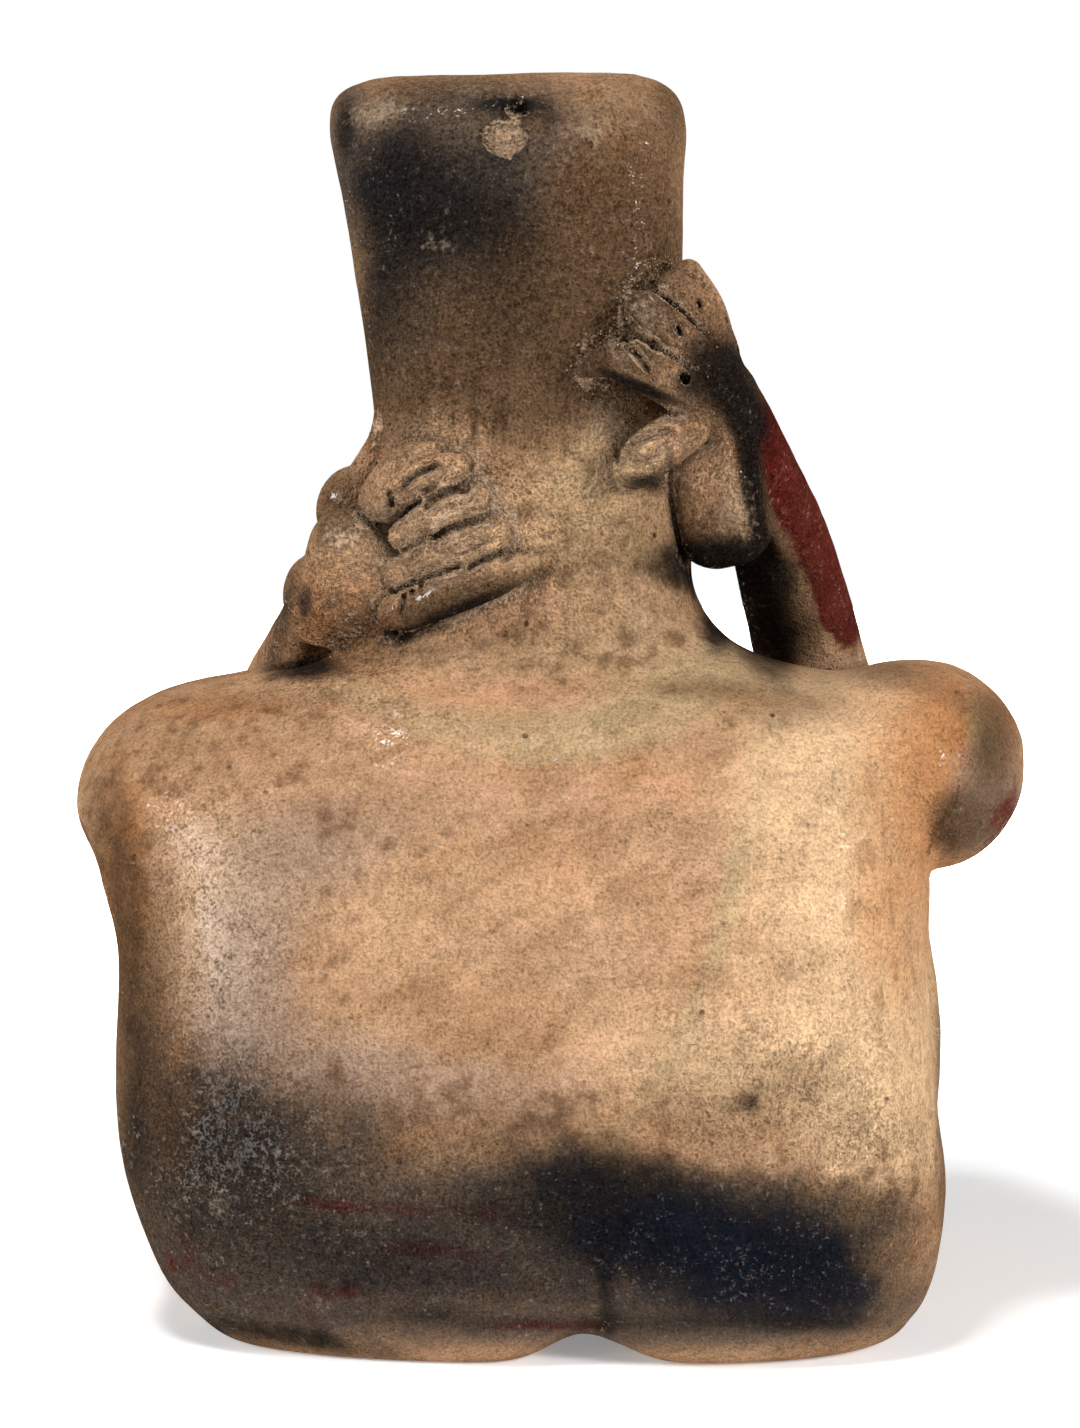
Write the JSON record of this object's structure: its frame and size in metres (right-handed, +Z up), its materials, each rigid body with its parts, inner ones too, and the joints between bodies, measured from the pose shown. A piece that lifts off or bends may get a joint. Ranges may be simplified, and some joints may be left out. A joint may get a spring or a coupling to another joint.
{
  "type": "crouching pottery figure",
  "caption": "Hollow fired-clay figure crouching with its knees drawn up, elbows on the knees and both hands laid on the back of a tall flat-topped head.",
  "frame": {"origin": "on the ground, under the centre of the bounding box", "axes": "+Z up, the face looks along -Y, the figure's left hand is on the +X side"},
  "size_m": [0.3025, 0.2622, 0.4],
  "materials": {
    "burnished_clay": "hand-burnished low-fired clay with fire clouds, traces of red slip and earth in the hollows"
  },
  "bodies": {
    "root": {"crouching_figure": "burnished_clay"}
  },
  "joints": []
}
